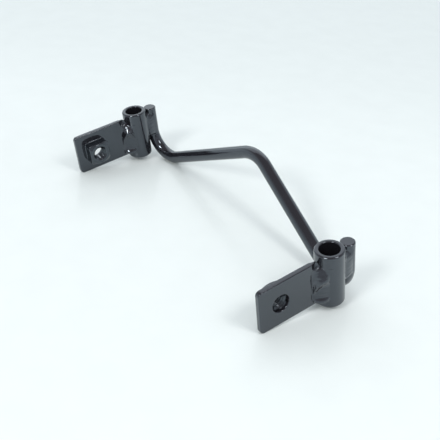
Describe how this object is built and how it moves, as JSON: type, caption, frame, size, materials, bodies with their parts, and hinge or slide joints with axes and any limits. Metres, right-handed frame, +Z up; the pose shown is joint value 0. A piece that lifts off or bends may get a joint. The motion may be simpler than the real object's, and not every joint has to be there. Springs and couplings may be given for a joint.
{
  "type": "windscreen bracket",
  "caption": "Welded steel bracket: two spacer tubes with nutted tabs, joined by a bent round bar, to carry a small windscreen.",
  "frame": {"origin": "midway between the axes of the two spacer tubes, level with their lower end faces", "axes": "+Z up along the tubes, +X from the left tube to the right one, +Y from the tabs to the bent bar"},
  "size_m": [0.2144, 0.0789, 0.0407],
  "materials": {
    "black_paint": "gloss",
    "weld_paint": "gloss over weld",
    "nut_paint": "gloss"
  },
  "bodies": {
    "root": {"cross_bar": "black_paint", "left_tube": "black_paint", "right_tube": "black_paint", "left_tab": "black_paint", "right_tab": "black_paint", "left_weld_nut": "nut_paint", "right_weld_nut": "nut_paint", "left_tab_weld_inner": "weld_paint", "left_tab_weld_outer": "weld_paint", "right_tab_weld_inner": "weld_paint", "right_tab_weld_outer": "weld_paint", "left_bar_weld_inner": "weld_paint", "left_bar_weld_outer": "weld_paint", "right_bar_weld_inner": "weld_paint", "right_bar_weld_outer": "weld_paint"}
  },
  "joints": []
}
